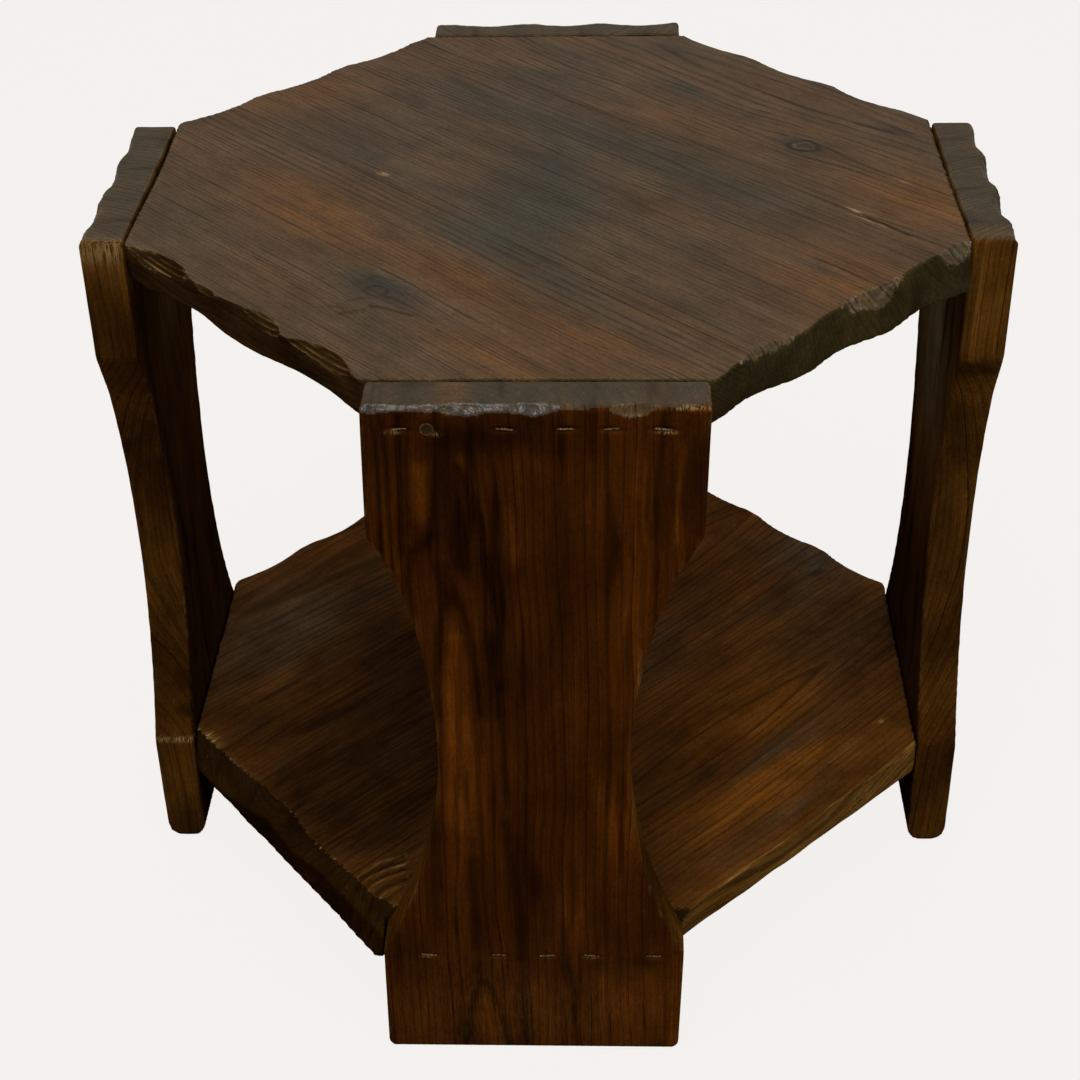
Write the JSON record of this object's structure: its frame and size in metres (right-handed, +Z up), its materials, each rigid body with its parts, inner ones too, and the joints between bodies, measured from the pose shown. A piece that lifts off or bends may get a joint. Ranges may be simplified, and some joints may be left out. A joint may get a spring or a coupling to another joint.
{
  "type": "side table",
  "caption": "Octagonal rustic side table with a planked top, a lower shelf, hourglass plank legs and carved wavy edges, for setting down lamps, books or drinks.",
  "frame": {"origin": "on the floor under the middle of the table", "axes": "+X to the right, +Y away from the viewer and through the front and back legs, +Z up"},
  "size_m": [0.648, 0.668, 0.548],
  "materials": {
    "top_wood": "dark stained, wire-brushed softwood, satin",
    "shelf_wood": "dark stained, wire-brushed softwood, satin",
    "leg_wood": "dark brown stained softwood with bold grain, satin lacquer",
    "dowel_wood": "bare hardwood",
    "staple_steel": "dull galvanised wire",
    "nail_steel": "dull weathered steel"
  },
  "bodies": {
    "root": {"front_leg": "leg_wood", "right_leg": "leg_wood", "back_leg": "leg_wood", "left_leg": "leg_wood", "top_board_front_left": "top_wood", "top_board_middle": "top_wood", "top_board_back_right": "top_wood", "shelf_board_front_right": "shelf_wood", "shelf_board_middle": "shelf_wood", "shelf_board_back_left": "shelf_wood", "top_dowels_front_left": "dowel_wood", "top_dowels_back_right": "dowel_wood", "shelf_dowels_front_right": "dowel_wood", "shelf_dowels_back_left": "dowel_wood", "front_leg_top_staples": "staple_steel", "front_leg_shelf_staples": "staple_steel", "right_leg_top_staples": "staple_steel", "right_leg_shelf_staples": "staple_steel", "back_leg_top_staples": "staple_steel", "back_leg_shelf_staples": "staple_steel", "left_leg_top_staples": "staple_steel", "left_leg_shelf_staples": "staple_steel", "front_leg_nail": "nail_steel"}
  },
  "joints": []
}
